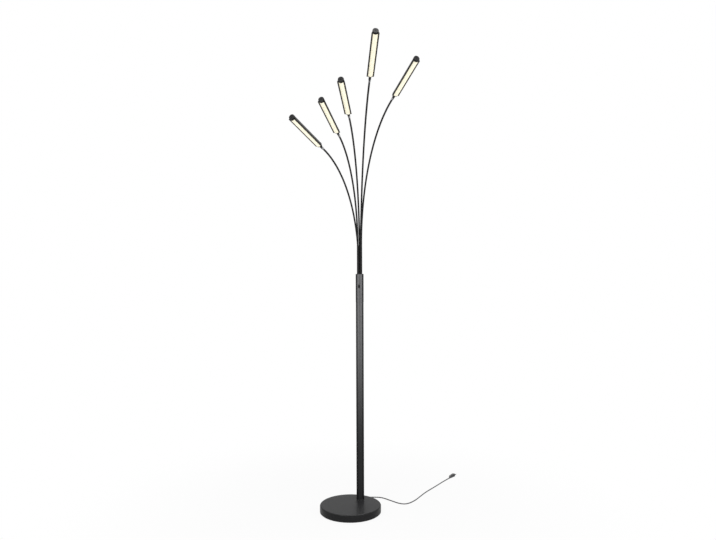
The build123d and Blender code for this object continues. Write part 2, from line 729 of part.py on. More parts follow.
pin_plane = plug_plane.offset(plug_nose + plug_length)
with BuildPart() as plug_pins:
    with BuildSketch(pin_plane):
        with Locations((plug_height / 2, -pin_spacing / 2), (plug_height / 2, pin_spacing / 2)):
            Circle(pin_diameter / 2)
    extrude(amount=pin_length)
    fillet(plug_pins.edges().filter_by(GeomType.CIRCLE).sort_by(Axis(pin_plane.origin, plug_direction))[-2:],
           pin_diameter / 2 - 0.2)
write(plug_pins.part, "plug_pins")

cord_length = lead_in_length + hank_length + lead_out_length
print(f"mains cord from strain relief to plug: {cord_length:.0f} mm")
print(f"post top at {sleeve_top}, hank to the lead {lead_out_points[0]}")
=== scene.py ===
"""Tree floor lamp: finishes, small fittings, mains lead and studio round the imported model.

Sizes are in metres. The lamp stands on the floor at the origin, its arms arch towards -Y.
"""

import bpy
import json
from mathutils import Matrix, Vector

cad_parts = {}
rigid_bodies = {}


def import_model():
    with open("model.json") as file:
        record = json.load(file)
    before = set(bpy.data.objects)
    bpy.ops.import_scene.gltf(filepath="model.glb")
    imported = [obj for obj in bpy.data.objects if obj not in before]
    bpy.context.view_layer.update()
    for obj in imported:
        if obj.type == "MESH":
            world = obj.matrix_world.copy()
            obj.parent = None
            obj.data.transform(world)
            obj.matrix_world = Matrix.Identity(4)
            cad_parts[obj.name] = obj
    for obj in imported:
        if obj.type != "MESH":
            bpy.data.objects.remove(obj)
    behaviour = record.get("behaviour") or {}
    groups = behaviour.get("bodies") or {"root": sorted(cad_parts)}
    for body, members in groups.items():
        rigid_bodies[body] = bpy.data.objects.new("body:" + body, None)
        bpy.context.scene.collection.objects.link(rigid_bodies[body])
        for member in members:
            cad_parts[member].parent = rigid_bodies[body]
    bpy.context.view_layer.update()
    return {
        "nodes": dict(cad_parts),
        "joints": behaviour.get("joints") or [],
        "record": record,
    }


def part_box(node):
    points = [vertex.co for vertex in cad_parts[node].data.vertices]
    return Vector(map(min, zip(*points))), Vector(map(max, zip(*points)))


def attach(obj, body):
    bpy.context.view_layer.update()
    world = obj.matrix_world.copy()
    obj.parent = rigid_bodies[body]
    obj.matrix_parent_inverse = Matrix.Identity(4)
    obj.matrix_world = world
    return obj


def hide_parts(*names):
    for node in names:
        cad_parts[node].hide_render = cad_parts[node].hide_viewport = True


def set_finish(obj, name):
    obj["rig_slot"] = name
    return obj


bl_info = {
    "name": "Tree Floor Lamp",
    "version": (1, 0, 0),
    "blender": (4, 5, 0),
    "location": "3D View > Sidebar > Lamp",
    "description": "Adds the finishes, fittings, mains lead and studio of a five-armed floor lamp",
    "category": "Object",
}

import json
from math import cos, pi, radians, sin

import bmesh
import bpy
from bpy.props import FloatProperty, FloatVectorProperty, IntProperty, PointerProperty
from mathutils import Matrix, Vector

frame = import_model()
nodes = frame["nodes"]
hinges = {joint["name"]: joint for joint in frame["joints"]}
ARMS = (1, 2, 3, 4, 5)

HEAD_LENGTH = 0.244         # from a head's pivot to the flat of its round end
EAR_FACE = 0.0043           # from a head's pivot to the outer face of a knuckle's ear
ROD_RADIUS = 0.0035
NODE_SMOOTH = radians(32)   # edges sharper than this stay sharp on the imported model
PIECE_SMOOTH = radians(35)  # and on what is added to it

PLUG_HEADING = radians(54)
PLUG_MIDDLE_Z = 0.0068      # height of the pins
PIN_ROOT = 0.046            # from the lead's end to where the pins leave the plug
PIN_SIDE = 0.0045           # from the plug's middle to a pin
PIN_SLEEVE_RADIUS = 0.00208
GRIP_FRONT = 0.0385         # from the lead's end to the foremost grip ridge
GRIP_SIDE = 0.0073          # from the plug's middle to its flank
GRIP_SIZE = (0.0016, 0.0012, 0.0078)
GRIP_PITCH = 0.0026

FLOOR_SIZE = 24
WHITE = (1.0, 1.0, 1.0)
AMBIENT = 0.45              # strength of the surroundings where they light the lamp
SOFT_BOX = 6.0              # and of the soft box overhead, for reflections alone
# Name, place, what it points at, width across and power in watts.
LIGHTS = (
    ("key_light", (-1.5, -2.4, 2.9), (0.0, -0.1, 0.9), 1.6, 42.0),
    ("fill_light", (2.3, -2.0, 1.7), (0.0, 0.0, 0.9), 1.4, 18.0),
    ("top_light", (0.25, -0.9, 3.2), (0.0, 0.0, 0.0), 1.0, 20.0))
CAMERA_PLACE = (0.0341, -2.8768, 1.041)
CAMERA_PITCH = radians(1.02)
CAMERA_ROLL = radians(-0.2)
FOCAL_LENGTH = 35.547       # in mm, as Blender gives it
SENSOR_WIDTH = 36.0
FAR_CLIP = 60.0


# ---------------------------------------------------------------------------- settings

class LampSizes(bpy.types.PropertyGroup):
    """Sizes of the fittings that are added to the lamp"""
    cord_diameter: FloatProperty(
        name="Cord diameter", description="Outside of the round mains flex",
        default=0.0045, min=0.002, max=0.01, unit="LENGTH", precision=5)
    screw_radius: FloatProperty(
        name="End screw radius",
        description="Head of the screw in the middle of each round end cap",
        default=0.00145, min=0.0008, max=0.0016, unit="LENGTH", precision=5)
    rivet_radius: FloatProperty(
        name="Rivet radius", description="Domed head at either end of a knuckle's pin",
        default=0.0022, min=0.001, max=0.003, unit="LENGTH", precision=5)
    bush_radius: FloatProperty(
        name="Rod bush radius", description="Outside of the soft ring where a rod leaves the post",
        default=0.0043, min=0.0037, max=0.0046, unit="LENGTH", precision=5)
    gasket_width: FloatProperty(
        name="Gasket width", description="How far the ring under the post shows round it",
        default=0.0011, min=0.0005, max=0.003, unit="LENGTH", precision=5)
    clasp_length: FloatProperty(
        name="Clasp length", description="Little block that closes the tie round the spare lead",
        default=0.006, min=0.003, max=0.01, unit="LENGTH", precision=5)
    sleeve_length: FloatProperty(
        name="Pin sleeve length", description="Insulated part of each pin of the plug",
        default=0.0105, min=0.005, max=0.015, unit="LENGTH", precision=5)
    grip_count: IntProperty(
        name="Grip ridges", description="Ridges on either side of the plug",
        default=4, min=2, max=6)


class LampColours(bpy.types.PropertyGroup):
    """Colours of the lamp's finishes"""
    paint: FloatVectorProperty(
        name="Powder coat", description="Satin black of the base, post, rods and heads",
        subtype="COLOR", size=3, min=0.0, max=1.0, default=(0.01, 0.01, 0.0104))
    chrome: FloatVectorProperty(
        name="Chrome", description="Bright plating of the knuckles",
        subtype="COLOR", size=3, min=0.0, max=1.0, default=(0.4, 0.4, 0.41))
    opal: FloatVectorProperty(
        name="Opal cover", description="Cream acrylic in front of the LEDs",
        subtype="COLOR", size=3, min=0.0, max=1.0, default=(0.93, 0.88, 0.72))
    glow: FloatVectorProperty(
        name="Glow", description="Warm light that comes through the opal cover",
        subtype="COLOR", size=3, min=0.0, max=1.0, default=(1.0, 0.92, 0.66))
    cord: FloatVectorProperty(
        name="Flex", description="Black sheath of the mains lead",
        subtype="COLOR", size=3, min=0.0, max=1.0, default=(0.03, 0.03, 0.032))
    floor: FloatVectorProperty(
        name="Floor", description="Plain pale studio floor",
        subtype="COLOR", size=3, min=0.0, max=1.0, default=(0.86, 0.86, 0.86))


# ---------------------------------------------------------------------------- shaders

class Value:
    """A number in a node tree: arithmetic on it adds the Math nodes that work it out."""

    def __init__(self, nodes, socket):
        self.nodes = nodes
        self.socket = socket

    def math(self, operation, other):
        return self.nodes.node("ShaderNodeMath", {"operation": operation}, {0: self, 1: other})

    def __add__(self, other):
        return self.math("ADD", other)

    def __mul__(self, other):
        return self.math("MULTIPLY", other)

    __radd__ = __add__
    __rmul__ = __mul__


class Nodes:
    """A node tree, emptied and built anew."""

    def __init__(self, tree):
        self.tree = tree
        self.tree.nodes.clear()

    def node(self, kind, settings=None, inputs=None, output=0):
        """Adds a node, its settings first and then its inputs, and gives one of its outputs."""
        made = self.tree.nodes.new(kind)
        for key, value in (settings or {}).items():
            if key == "stops":
                while len(made.color_ramp.elements) < len(value):
                    made.color_ramp.elements.new(1.0)
                for element, (position, shade) in zip(made.color_ramp.elements, value):
                    element.position = position
                    element.color = (*shade, 1.0)
            else:
                setattr(made, key, value)
        for key, value in (inputs or {}).items():
            socket = made.inputs[key]
            if isinstance(value, Value):
                self.tree.links.new(value.socket, socket)
            elif hasattr(value, "__len__") and len(value) == 3 and socket.type == "RGBA":
                socket.default_value = (*value, 1.0)
            else:
                socket.default_value = value
        return Value(self, made.outputs[output])

    def height(self, vector):
        return self.node("ShaderNodeSeparateXYZ", None, {"Vector": vector}, output="Z")

    def ease(self, value, start, end, low=0.0, high=1.0):
        """Goes smoothly from low to high while a value goes from start to end."""
        return self.node("ShaderNodeMapRange", {"interpolation_type": "SMOOTHSTEP"}, {
            "Value": value, "From Min": start, "From Max": end, "To Min": low, "To Max": high},
            output="Result")

    def seen(self):
        """1 for what the camera sees, straight, in a reflection or through a cover, else 0."""
        camera, glossy, through = (
            self.node("ShaderNodeLightPath", output=f"Is {kind} Ray")
            for kind in ("Camera", "Glossy", "Transmission"))
        return camera + glossy + through

    def blend(self, share, first, second):
        """Mix of two shaders."""
        return self.node("ShaderNodeMixShader", None, {0: share, 1: first, 2: second})

    def end(self, kind, shader):
        """Ends the tree in an output node of this kind."""
        self.tree.links.new(shader.socket, self.tree.nodes.new(kind).inputs["Surface"])


class Finish(Nodes):
    """A material with its nodes."""

    def __init__(self, name):
        self.material = bpy.data.materials.new(name)
        self.material.use_nodes = True
        super().__init__(self.material.node_tree)

    def place(self, stretch=(1.0, 1.0, 1.0)):
        """Object coordinates, stretched along the axes."""
        return self.node("ShaderNodeMapping", None, {
            "Vector": self.node("ShaderNodeTexCoord", output="Object"), "Scale": stretch})

    def noise(self, scale, detail=2.0, stretch=(1.0, 1.0, 1.0)):
        return self.node("ShaderNodeTexNoise", None, {
            "Vector": self.place(stretch), "Scale": scale, "Detail": detail, "Roughness": 0.55},
            output="Fac")

    def ramp(self, value, stops):
        return self.node("ShaderNodeValToRGB", {"stops": stops}, {"Fac": value}, output="Color")

    def tint(self, share, first, second):
        """Blend of two colours."""
        return self.node("ShaderNodeMix", {"data_type": "RGBA"}, {0: share, 6: first, 7: second},
                         output=2)

    def bump(self, height, strength, distance):
        return self.node("ShaderNodeBump", None, {
            "Height": height, "Strength": strength, "Distance": distance})

    def surface(self, **inputs):
        """Ends the material in one Principled shader: Base_Color is its Base Color, and so on."""
        shader = self.node("ShaderNodeBsdfPrincipled", None,
                           {key.replace("_", " "): value for key, value in inputs.items()})
        self.end("ShaderNodeOutputMaterial", shader)
        return self.material


def scaled(colour, share):
    """A colour made darker or lighter."""
    return tuple(min(1.0, part * share) for part in colour)


def powder_coat(name, colour, roughness=0.42, grain=900.0, shine=0.14, coat=0.0):
    """Satin powder coat: fine orange peel, with a slightly uneven sheen and colour."""
    finish = Finish(name)
    peel = finish.noise(grain, 3.0)
    cloud = finish.noise(9.0, 3.0)
    return finish.surface(
        Base_Color=finish.tint(cloud, scaled(colour, 0.86), scaled(colour, 1.18)),
        Roughness=cloud * 0.08 + peel * 0.05 + (roughness - 0.065),
        Specular_IOR_Level=shine,
        Coat_Weight=coat,
        Coat_Roughness=0.16,
        Normal=finish.bump(peel, 0.25, 0.00025))


def satin_tube(name, colour, bottom, top):
    """Tube with painted sheen: two soft light stripes down its middle, painted into its colour by
    how the surface faces the view, and painted light that grows from bottom to top.
    """
    finish = Finish(name)
    peel = finish.noise(900.0, 3.0)
    # Painted light: the painted sheen is weak at the bottom and strong at the top (bottom and top
    # give its strength there), standing in for the heads' light on the upper post.
    painted_light_by_height = finish.ease(finish.height(finish.place()), 0.2, 0.85, bottom, top)
    turned = finish.node("ShaderNodeLayerWeight", None, {"Blend": 0.5}, output="Facing")
    # Painted sheen: light stripes either side of the middle of the tube as seen, a little darker
    # at its very middle and none at its edges.
    painted_sheen_bands = finish.ramp(turned, [
        (0.0, (0.6, 0.6, 0.6)), (0.02, (0.85, 0.85, 0.85)), (0.11, (1.0, 1.0, 1.0)),
        (0.3, (0.1, 0.1, 0.1)), (1.0, (0.0, 0.0, 0.0))])
    return finish.surface(
        # The painted sheen and painted light turn the dark paint towards a mid grey.
        Base_Color=finish.tint(painted_sheen_bands * painted_light_by_height, colour, (0.2, 0.2, 0.205)),
        Roughness=peel * 0.05 + 0.45,
        Specular_IOR_Level=0.05,
        Normal=finish.bump(peel, 0.15, 0.0002))


def moulded(name, colour, roughness=0.5, grain=1400.0, depth=0.0002, shine=0.5):
    """Moulded plastic or rubber with a fine leathery grain."""
    finish = Finish(name)
    grains = finish.node("ShaderNodeTexVoronoi", {"feature": "SMOOTH_F1"},
                         {"Vector": finish.place(), "Scale": grain})
    cloud = finish.noise(30.0)
    return finish.surface(
        Base_Color=finish.tint(cloud, scaled(colour, 0.85), scaled(colour, 1.2)),
        Roughness=cloud * 0.1 + (roughness - 0.05),
        Specular_IOR_Level=shine,
        Normal=finish.bump(grains, 0.3, depth))


def plated(name, colour, roughness, scratch):
    """Plated metal: fine scratches, and a film that dulls it unevenly."""
    finish = Finish(name)
    lines = finish.noise(600.0, 4.0, (1.0, 1.0, 0.06))
    film = finish.noise(70.0)
    return finish.surface(
        Base_Color=finish.tint(film, scaled(colour, 0.94), scaled(colour, 1.06)),
        Metallic=1.0,
        Roughness=film * 0.08 + lines * scratch + roughness,
        Normal=finish.bump(lines, 0.08, 0.0001))


def casting(name, colour):
    """Sand-cast iron, as cast."""
    finish = Finish(name)
    sand = finish.noise(700.0, 5.0)
    patch = finish.noise(25.0, 3.0)
    return finish.surface(
        Base_Color=finish.tint(patch, scaled(colour, 0.7), scaled(colour, 1.3)),
        Roughness=patch * 0.15 + 0.62,
        Metallic=0.4,
        Normal=finish.bump(sand, 0.6, 0.0006))


def opal_acrylic(name, colour, glow):
    """Opal cover lit from behind: warm, with a slightly uneven glow."""
    finish = Finish(name)
    cloud = finish.noise(45.0, 2.0)
    return finish.surface(
        Base_Color=finish.tint(cloud, scaled(colour, 0.97), scaled(colour, 1.03)),
        Roughness=cloud * 0.06 + 0.32,
        Emission_Color=finish.tint(cloud, scaled(glow, 0.95), scaled(glow, 1.04)),
        Emission_Strength=0.42,
        Coat_Weight=0.15,
        Normal=finish.bump(cloud, 0.04, 0.0003))


def circuit_board(name):
    """White solder mask with faint tracks under it."""
    finish = Finish(name)
    tracks = finish.node("ShaderNodeTexBrick", {"offset": 0.5}, {
        "Vector": finish.place(), "Scale": 90.0, "Mortar Size": 0.03,
        "Color1": (0.82, 0.81, 0.74), "Color2": (0.86, 0.84, 0.76), "Mortar": (0.7, 0.66, 0.5)})
    return finish.surface(Base_Color=tracks, Roughness=finish.noise(60.0) * 0.1 + 0.4)


def flex_sheath(name, colour):
    """Smooth flexible sheath with a soft uneven sheen and faint waves."""
    finish = Finish(name)
    waves = finish.noise(260.0, 2.0)
    cloud = finish.noise(20.0)
    return finish.surface(
        Base_Color=finish.tint(cloud, scaled(colour, 0.85), scaled(colour, 1.2)),
        Roughness=waves * 0.1 + 0.38,
        Normal=finish.bump(waves, 0.12, 0.0002))


# ---------------------------------------------------------------------------- modelling

def clear_selection():
    """Leaves edit mode and selects nothing."""
    if bpy.context.object and bpy.context.object.mode != "OBJECT":
        bpy.ops.object.mode_set(mode="OBJECT")
    for thing in bpy.context.view_layer.objects:
        thing.select_set(False)
    bpy.context.view_layer.objects.active = None


def pick(kind, test):
    """In edit mode, selects the faces or edges that pass a test, and nothing else."""
    piece = bpy.context.object
    bpy.ops.mesh.select_mode(type="FACE" if kind == "faces" else "EDGE")
    bpy.ops.mesh.select_all(action="DESELECT")
    mesh = bmesh.from_edit_mesh(piece.data)
    for part in getattr(mesh, kind):
        if test(part):
            part.select_set(True)
    bmesh.update_edit_mesh(piece.data)


def facing(direction):
    """Test for the faces that look this way."""
    direction = Vector(direction)
    return lambda face: face.normal.dot(direction) > 0.99


def middle(edge):
    return (edge.verts[0].co + edge.verts[1].co) / 2


def halve(normal):
    """In edit mode, cuts away all that lies behind the plane through the origin, and closes it."""
    bpy.ops.mesh.select_all(action="SELECT")
    bpy.ops.mesh.bisect(plane_co=(0, 0, 0), plane_no=normal, use_fill=True, clear_inner=True)
    bpy.ops.mesh.select_all(action="SELECT")


def mirror(axes):
    """Adds the other side of the active piece, and ends in edit mode with all of it selected."""
    bpy.ops.object.mode_set(mode="OBJECT")
    modifier = bpy.context.object.modifiers.new("other side", "MIRROR")
    modifier.use_axis = axes
    bpy.ops.object.modifier_apply(modifier=modifier.name)
    bpy.ops.object.mode_set(mode="EDIT")
    bpy.ops.mesh.select_all(action="SELECT")
    bpy.ops.mesh.normals_make_consistent(inside=False)


def finish_piece(name, slot, body, place=Matrix()):
    """Names the active piece, puts it in its place and lets it ride on its body."""
    bpy.ops.object.mode_set(mode="OBJECT")
    piece = bpy.context.object
    piece.name = piece.data.name = name
    piece.matrix_world = place @ piece.matrix_world
    bpy.ops.object.transform_apply(location=True, rotation=True, scale=True)
    bpy.ops.object.shade_smooth_by_angle(angle=PIECE_SMOOTH)
    piece.data.materials.clear()
    piece.data.materials.append(finishes[slot])
    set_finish(piece, slot)
    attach(piece, body)
    return piece


def copy_piece(source, name, body, place):
    """A copy of a piece with its own mesh, moved by a matrix."""
    piece = source.copy()
    piece.data = source.data.copy()
    piece.parent = None
    bpy.context.scene.collection.objects.link(piece)
    piece.name = piece.data.name = name
    piece.data.transform(place)
    piece.matrix_world = Matrix.Identity(4)
    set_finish(piece, source["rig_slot"])
    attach(piece, body)
    return piece


def copy_to_heads(first, name, body):
    """Copies the first head's piece to the other heads. Name and body hold {} for the number."""
    for number in ARMS[1:]:
        copy_piece(first, name.format(number), body.format(number),
                   head_place(number) @ head_place(1).inverted())


def half_round_ring(radius, bead):
    """A ring with a flat underside on z = 0 and a rounded top, in edit mode."""
    clear_selection()
    bpy.ops.mesh.primitive_torus_add(major_radius=radius, minor_radius=bead,
                                     major_segments=64, minor_segments=16)
    bpy.ops.object.mode_set(mode="EDIT")
    halve((0, 0, 1))
    bpy.ops.mesh.normals_make_consistent(inside=False)


def head_place(number):
    """Matrix of a head's own frame: its pivot, +X along the pin, +Z along the head."""
    swivel, tilt = hinges[f"swivel_{number}"], hinges[f"tilt_{number}"]
    across, along = Vector(tilt["axis"]).normalized(), Vector(swivel["axis"]).normalized()
    turned = Matrix((across, along.cross(across), along)).transposed().to_4x4()
    return Matrix.Translation(Vector(tilt["pos_m"])) @ turned


def node_middle(name):
    low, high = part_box(name)
    return (low + high) / 2


# ---------------------------------------------------------------------------- route of the lead

FLEX_Z = 0.00225            # centre of the flex where it lies on the floor
HANK_LOW = 0.00305          # lower and upper layer of the put-away hank
HANK_HIGH = 0.00805
HANK_MIDDLE = (-0.007, 0.150)
HANK_HALF_RUN = 0.045       # from the hank's middle to the centres of its end turns
HANK_HALF_WAIST = 0.011     # half the length of the waist, where the tie holds the runs
HANK_WAIST = 0.0025         # how far the tie pulls a run in there
HANK_CLIMB = 0.3            # share of a climb that a run has done where its waist begins
TURN_STEP = 30              # degrees between an end turn's points
TURN_POINTS = 8
# From the strain relief round the hank's left end.
LEAD_IN = [
    (-0.07042, 0.12446, 0.0095), (-0.07829, 0.13839, 0.0095), (-0.0805, 0.1570, 0.0054),
    (-0.0665, 0.1685, HANK_LOW), (-0.0485, 0.1685, HANK_LOW)]
# From the hank's upper layer to the right, in front of its own line and away to the plug.
LEAD_OUT = [
    (0.038, 0.1685, HANK_HIGH), (0.046, 0.1685, HANK_HIGH), (0.062, 0.1683, FLEX_Z),
    (0.099, 0.1686, FLEX_Z), (0.132, 0.1650, FLEX_Z), (0.160, 0.1365, FLEX_Z),
    (0.186, 0.1075, FLEX_Z), (0.206, 0.0885, FLEX_Z), (0.229, 0.0805, FLEX_Z),
    (0.253, 0.0965, FLEX_Z), (0.277, 0.1300, FLEX_Z), (0.300, 0.1740, FLEX_Z),
    (0.328, 0.2280, FLEX_Z), (0.363, 0.2810, FLEX_Z), (0.396, 0.3320, FLEX_Z),
    (0.427, 0.3820, FLEX_Z), (0.458, 0.4260, FLEX_Z)]
# Runs of the hank: from this level, to this level, at this distance from its middle line.
HANK_RUNS = [
    (HANK_LOW, HANK_LOW, 0.0185), (HANK_LOW, HANK_LOW, -0.0185), (HANK_LOW, HANK_LOW, 0.0135),
    (HANK_LOW, HANK_HIGH, -0.0135), (HANK_HIGH, HANK_HIGH, 0.0135),
    (HANK_HIGH, HANK_HIGH, -0.0185), (HANK_HIGH, HANK_HIGH, 0.0185)]


def hank_points():
    """Control points of the hank: two at each run's waist, and eight round each end turn."""
    x, y = HANK_MIDDLE
    points = []
    for index, (start_z, end_z, side) in enumerate(HANK_RUNS):
        sense = 1 if side > 0 else -1
        waist = y + side - sense * HANK_WAIST
        climb = HANK_CLIMB * (end_z - start_z)
        points.append((x - sense * HANK_HALF_WAIST, waist, start_z + climb))
        points.append((x + sense * HANK_HALF_WAIST, waist, end_z - climb))
        if index < len(HANK_RUNS) - 1:
            after = HANK_RUNS[index + 1][2]
            radius, centre = abs(side - after) / 2, y + (side + after) / 2
            reach = radius / cos(radians(TURN_STEP / 2))
            for step in range(TURN_POINTS):
                turn = radians(90 + TURN_STEP / 2 - TURN_STEP * step)
                points.append((x + sense * (HANK_HALF_RUN + reach * cos(turn)),
                               centre + sense * reach * sin(turn), end_z))
    return points


# ---------------------------------------------------------------------------- finishes

def make_finishes(colours):
    """The lamp's materials, by material slot, and the two that only some of its pieces have."""
    paint = colours.paint
    return {
        "black_paint": powder_coat("satin_black_powder_coat", paint, roughness=0.45),
        # The post wears a darker copy of the black paint with a painted sheen and painted light
        # towards its top.
        "post": satin_tube("satin_post", scaled(paint, 0.6), bottom=0.12, top=0.95),
        # Painted light: the base cover wears the black paint made 1.6 times lighter, standing in
        # for how brightly it is lit.
        "cover": powder_coat("base_powder_coat", scaled(paint, 1.6), shine=0.05, coat=0.1),
        "black_alloy": powder_coat("head_powder_coat", paint, roughness=0.4, grain=1200.0),
        "iron": casting("cast_iron", (0.07, 0.068, 0.066)),
        "steel": plated("zinc_plated_steel", (0.45, 0.45, 0.46), roughness=0.3, scratch=0.12),
        "chrome": plated("bright_chrome", colours.chrome, roughness=0.1, scratch=0.04),
        "opal": opal_acrylic("lit_opal_acrylic", colours.opal, colours.glow),
        "board": circuit_board("white_circuit_board"),
        "end_cap": moulded("end_cap_plastic", (0.014, 0.014, 0.0145), roughness=0.42, shine=0.1),
        "module": moulded("dimmer_case", (0.04, 0.04, 0.04), roughness=0.55),
        "button": moulded("button_plastic", (0.004, 0.004, 0.0045), roughness=0.4, grain=900.0,
                          depth=0.00005, shine=0.1),
        "pad": moulded("foam_rubber", (0.012, 0.012, 0.012), roughness=0.8, grain=500.0,
                       depth=0.0005),
        "cord": flex_sheath("black_flex", colours.cord),
        "tie": moulded("tie_strap", (0.02, 0.02, 0.02)),
        "plug": moulded("plug_shell", (0.018, 0.018, 0.019), roughness=0.45),
        "pins": plated("nickel_plated_pins", (0.62, 0.6, 0.56), roughness=0.22, scratch=0.1),
    }


finishes = {}
# Pieces that don't wear the finish of their material slot.
OWN_FINISH = {"post_lower": "post", "post_upper": "post", "post_coupler": "post",
              "base_cover": "cover"}
OWN_FINISH.update({f"head_tongue_{number}": "black_alloy" for number in ARMS})


# ---------------------------------------------------------------------------- operators

class LAMP_OT_finishes(bpy.types.Operator):
    """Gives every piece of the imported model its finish"""
    bl_idname = "lamp.finishes"
    bl_label = "Finishes"

    def execute(self, context):
        finishes.update(make_finishes(context.scene.lamp_colours))
        for part in frame["record"]["subparts"]:
            node = nodes[part["node"]]
            node.data.materials.clear()
            node.data.materials.append(
                finishes[OWN_FINISH.get(part["node"], part["material_slot"])])
            clear_selection()
            node.select_set(True)
            context.view_layer.objects.active = node
            bpy.ops.object.shade_smooth_by_angle(angle=NODE_SMOOTH)
        return {"FINISHED"}


class LAMP_OT_end_screws(bpy.types.Operator):
    """Adds the small screw in the middle of each head's round end"""
    bl_idname = "lamp.end_screws"
    bl_label = "End screws"

    def execute(self, context):
        radius = context.scene.lamp_sizes.screw_radius
        height = 0.0003         # of the screw's head over the round end, and of its recess
        clear_selection()
        bpy.ops.mesh.primitive_cylinder_add(vertices=36, radius=radius, depth=2 * height,
                                            location=(0, 0, HEAD_LENGTH))
        bpy.ops.object.transform_apply(location=True)
        bpy.ops.object.mode_set(mode="EDIT")
        pick("faces", facing((0, 0, 1)))
        bpy.ops.mesh.inset(thickness=radius * 0.45)
        bpy.ops.mesh.extrude_region_move(TRANSFORM_OT_translate={"value": (0, 0, -height)})
        pick("edges", lambda edge: middle(edge).z > HEAD_LENGTH + 0.95 * height
             and all(vertex.co.xy.length > radius * 0.95 for vertex in edge.verts))
        bpy.ops.mesh.bevel(offset=0.0002, segments=3)
        first = finish_piece("end_screw_1", "black_alloy", "head_1", head_place(1))
        copy_to_heads(first, "end_screw_{}", "head_{}")
        return {"FINISHED"}


class LAMP_OT_knuckle_rivets(bpy.types.Operator):
    """Adds the domed rivet heads on both sides of each knuckle"""
    bl_idname = "lamp.knuckle_rivets"
    bl_label = "Knuckle rivets"

    def execute(self, context):
        radius = context.scene.lamp_sizes.rivet_radius
        dome = 0.4              # height of the head as a share of its radius
        clear_selection()
        bpy.ops.mesh.primitive_uv_sphere_add(segments=32, ring_count=16, radius=radius)
        bpy.ops.object.mode_set(mode="EDIT")
        halve((1, 0, 0))
        bpy.ops.transform.resize(value=(dome, 1, 1), center_override=(0, 0, 0))
        bpy.ops.transform.translate(value=(EAR_FACE, 0, 0))
        pick("edges", lambda edge: abs(middle(edge).x - EAR_FACE) < 1e-6)
        bpy.ops.mesh.bevel(offset=0.00012, segments=2)
        mirror((True, False, False))
        first = finish_piece("knuckle_rivets_1", "chrome", "swivel_1_body", head_place(1))
        copy_to_heads(first, "knuckle_rivets_{}", "swivel_{}_body")
        return {"FINISHED"}


class LAMP_OT_rod_bushes(bpy.types.Operator):
    """Adds the soft ring round each rod where it leaves the post"""
    bl_idname = "lamp.rod_bushes"
    bl_label = "Rod bushes"

    def execute(self, context):
        outer = context.scene.lamp_sizes.bush_radius
        clearance = 0.00002     # left between a ring and its rod
        stretch = 2.2           # height of a ring as a share of its bead
        end_length = 0.02       # a rod's vertices lower than this under the top show its middle
        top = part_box("arm_socket")[1].z
        half_round_ring((outer + ROD_RADIUS) / 2, (outer - ROD_RADIUS) / 2 - clearance)
        bpy.ops.transform.resize(value=(1, 1, stretch), center_override=(0, 0, 0))
        places = []
        for number in ARMS:
            low = [vertex.co for vertex in nodes[f"arm_rod_{number}"].data.vertices
                   if vertex.co.z < top - end_length]
            centre = sum(low, Vector()) / len(low)
            places.append(Matrix.Translation((centre.x, centre.y, top)))
        first = finish_piece("rod_bush_1", "pad", "lamp", places[0])
        for number, place in zip(ARMS[1:], places[1:]):
            copy_piece(first, f"rod_bush_{number}", "lamp", place @ places[0].inverted())
        return {"FINISHED"}


class LAMP_OT_foot_gasket(bpy.types.Operator):
    """Adds the thin ring between the post and the base"""
    bl_idname = "lamp.foot_gasket"
    bl_label = "Foot gasket"

    def execute(self, context):
        width = context.scene.lamp_sizes.gasket_width
        clearance = 0.00005     # left between the ring and the post
        low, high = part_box("post_lower")
        half_round_ring((high.x - low.x) / 2 + clearance + width / 2, width / 2)
        centre = node_middle("post_lower")
        finish_piece("foot_gasket", "pad", "lamp",
                     Matrix.Translation((centre.x, centre.y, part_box("base_cover")[1].z)))
        return {"FINISHED"}


class LAMP_OT_mains_cord(bpy.types.Operator):
    """Adds the mains flex: out of the base, through the hank and away to the plug"""
    bl_idname = "lamp.mains_cord"
    bl_label = "Mains cord"

    def execute(self, context):
        diameter = context.scene.lamp_sizes.cord_diameter
        clear_selection()
        curve = bpy.data.curves.new("mains_cord", "CURVE")
        curve.dimensions = "3D"
        curve.bevel_depth = diameter / 2
        curve.bevel_resolution = 5
        curve.resolution_u = 8
        curve.use_fill_caps = True
        spline = curve.splines.new("NURBS")
        route = LEAD_IN + hank_points() + LEAD_OUT
        spline.points.add(len(route) - 1)
        for point, place in zip(spline.points, route):
            point.co = (*place, 1.0)
        spline.order_u = 3
        spline.use_endpoint_u = True
        cord = bpy.data.objects.new("mains_cord", curve)
        context.scene.collection.objects.link(cord)
        curve.materials.append(finishes["cord"])
        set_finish(cord, "cord")
        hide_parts("cord_lead", "cord_hank", "mains_lead")
        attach(cord, "lamp")
        return {"FINISHED"}


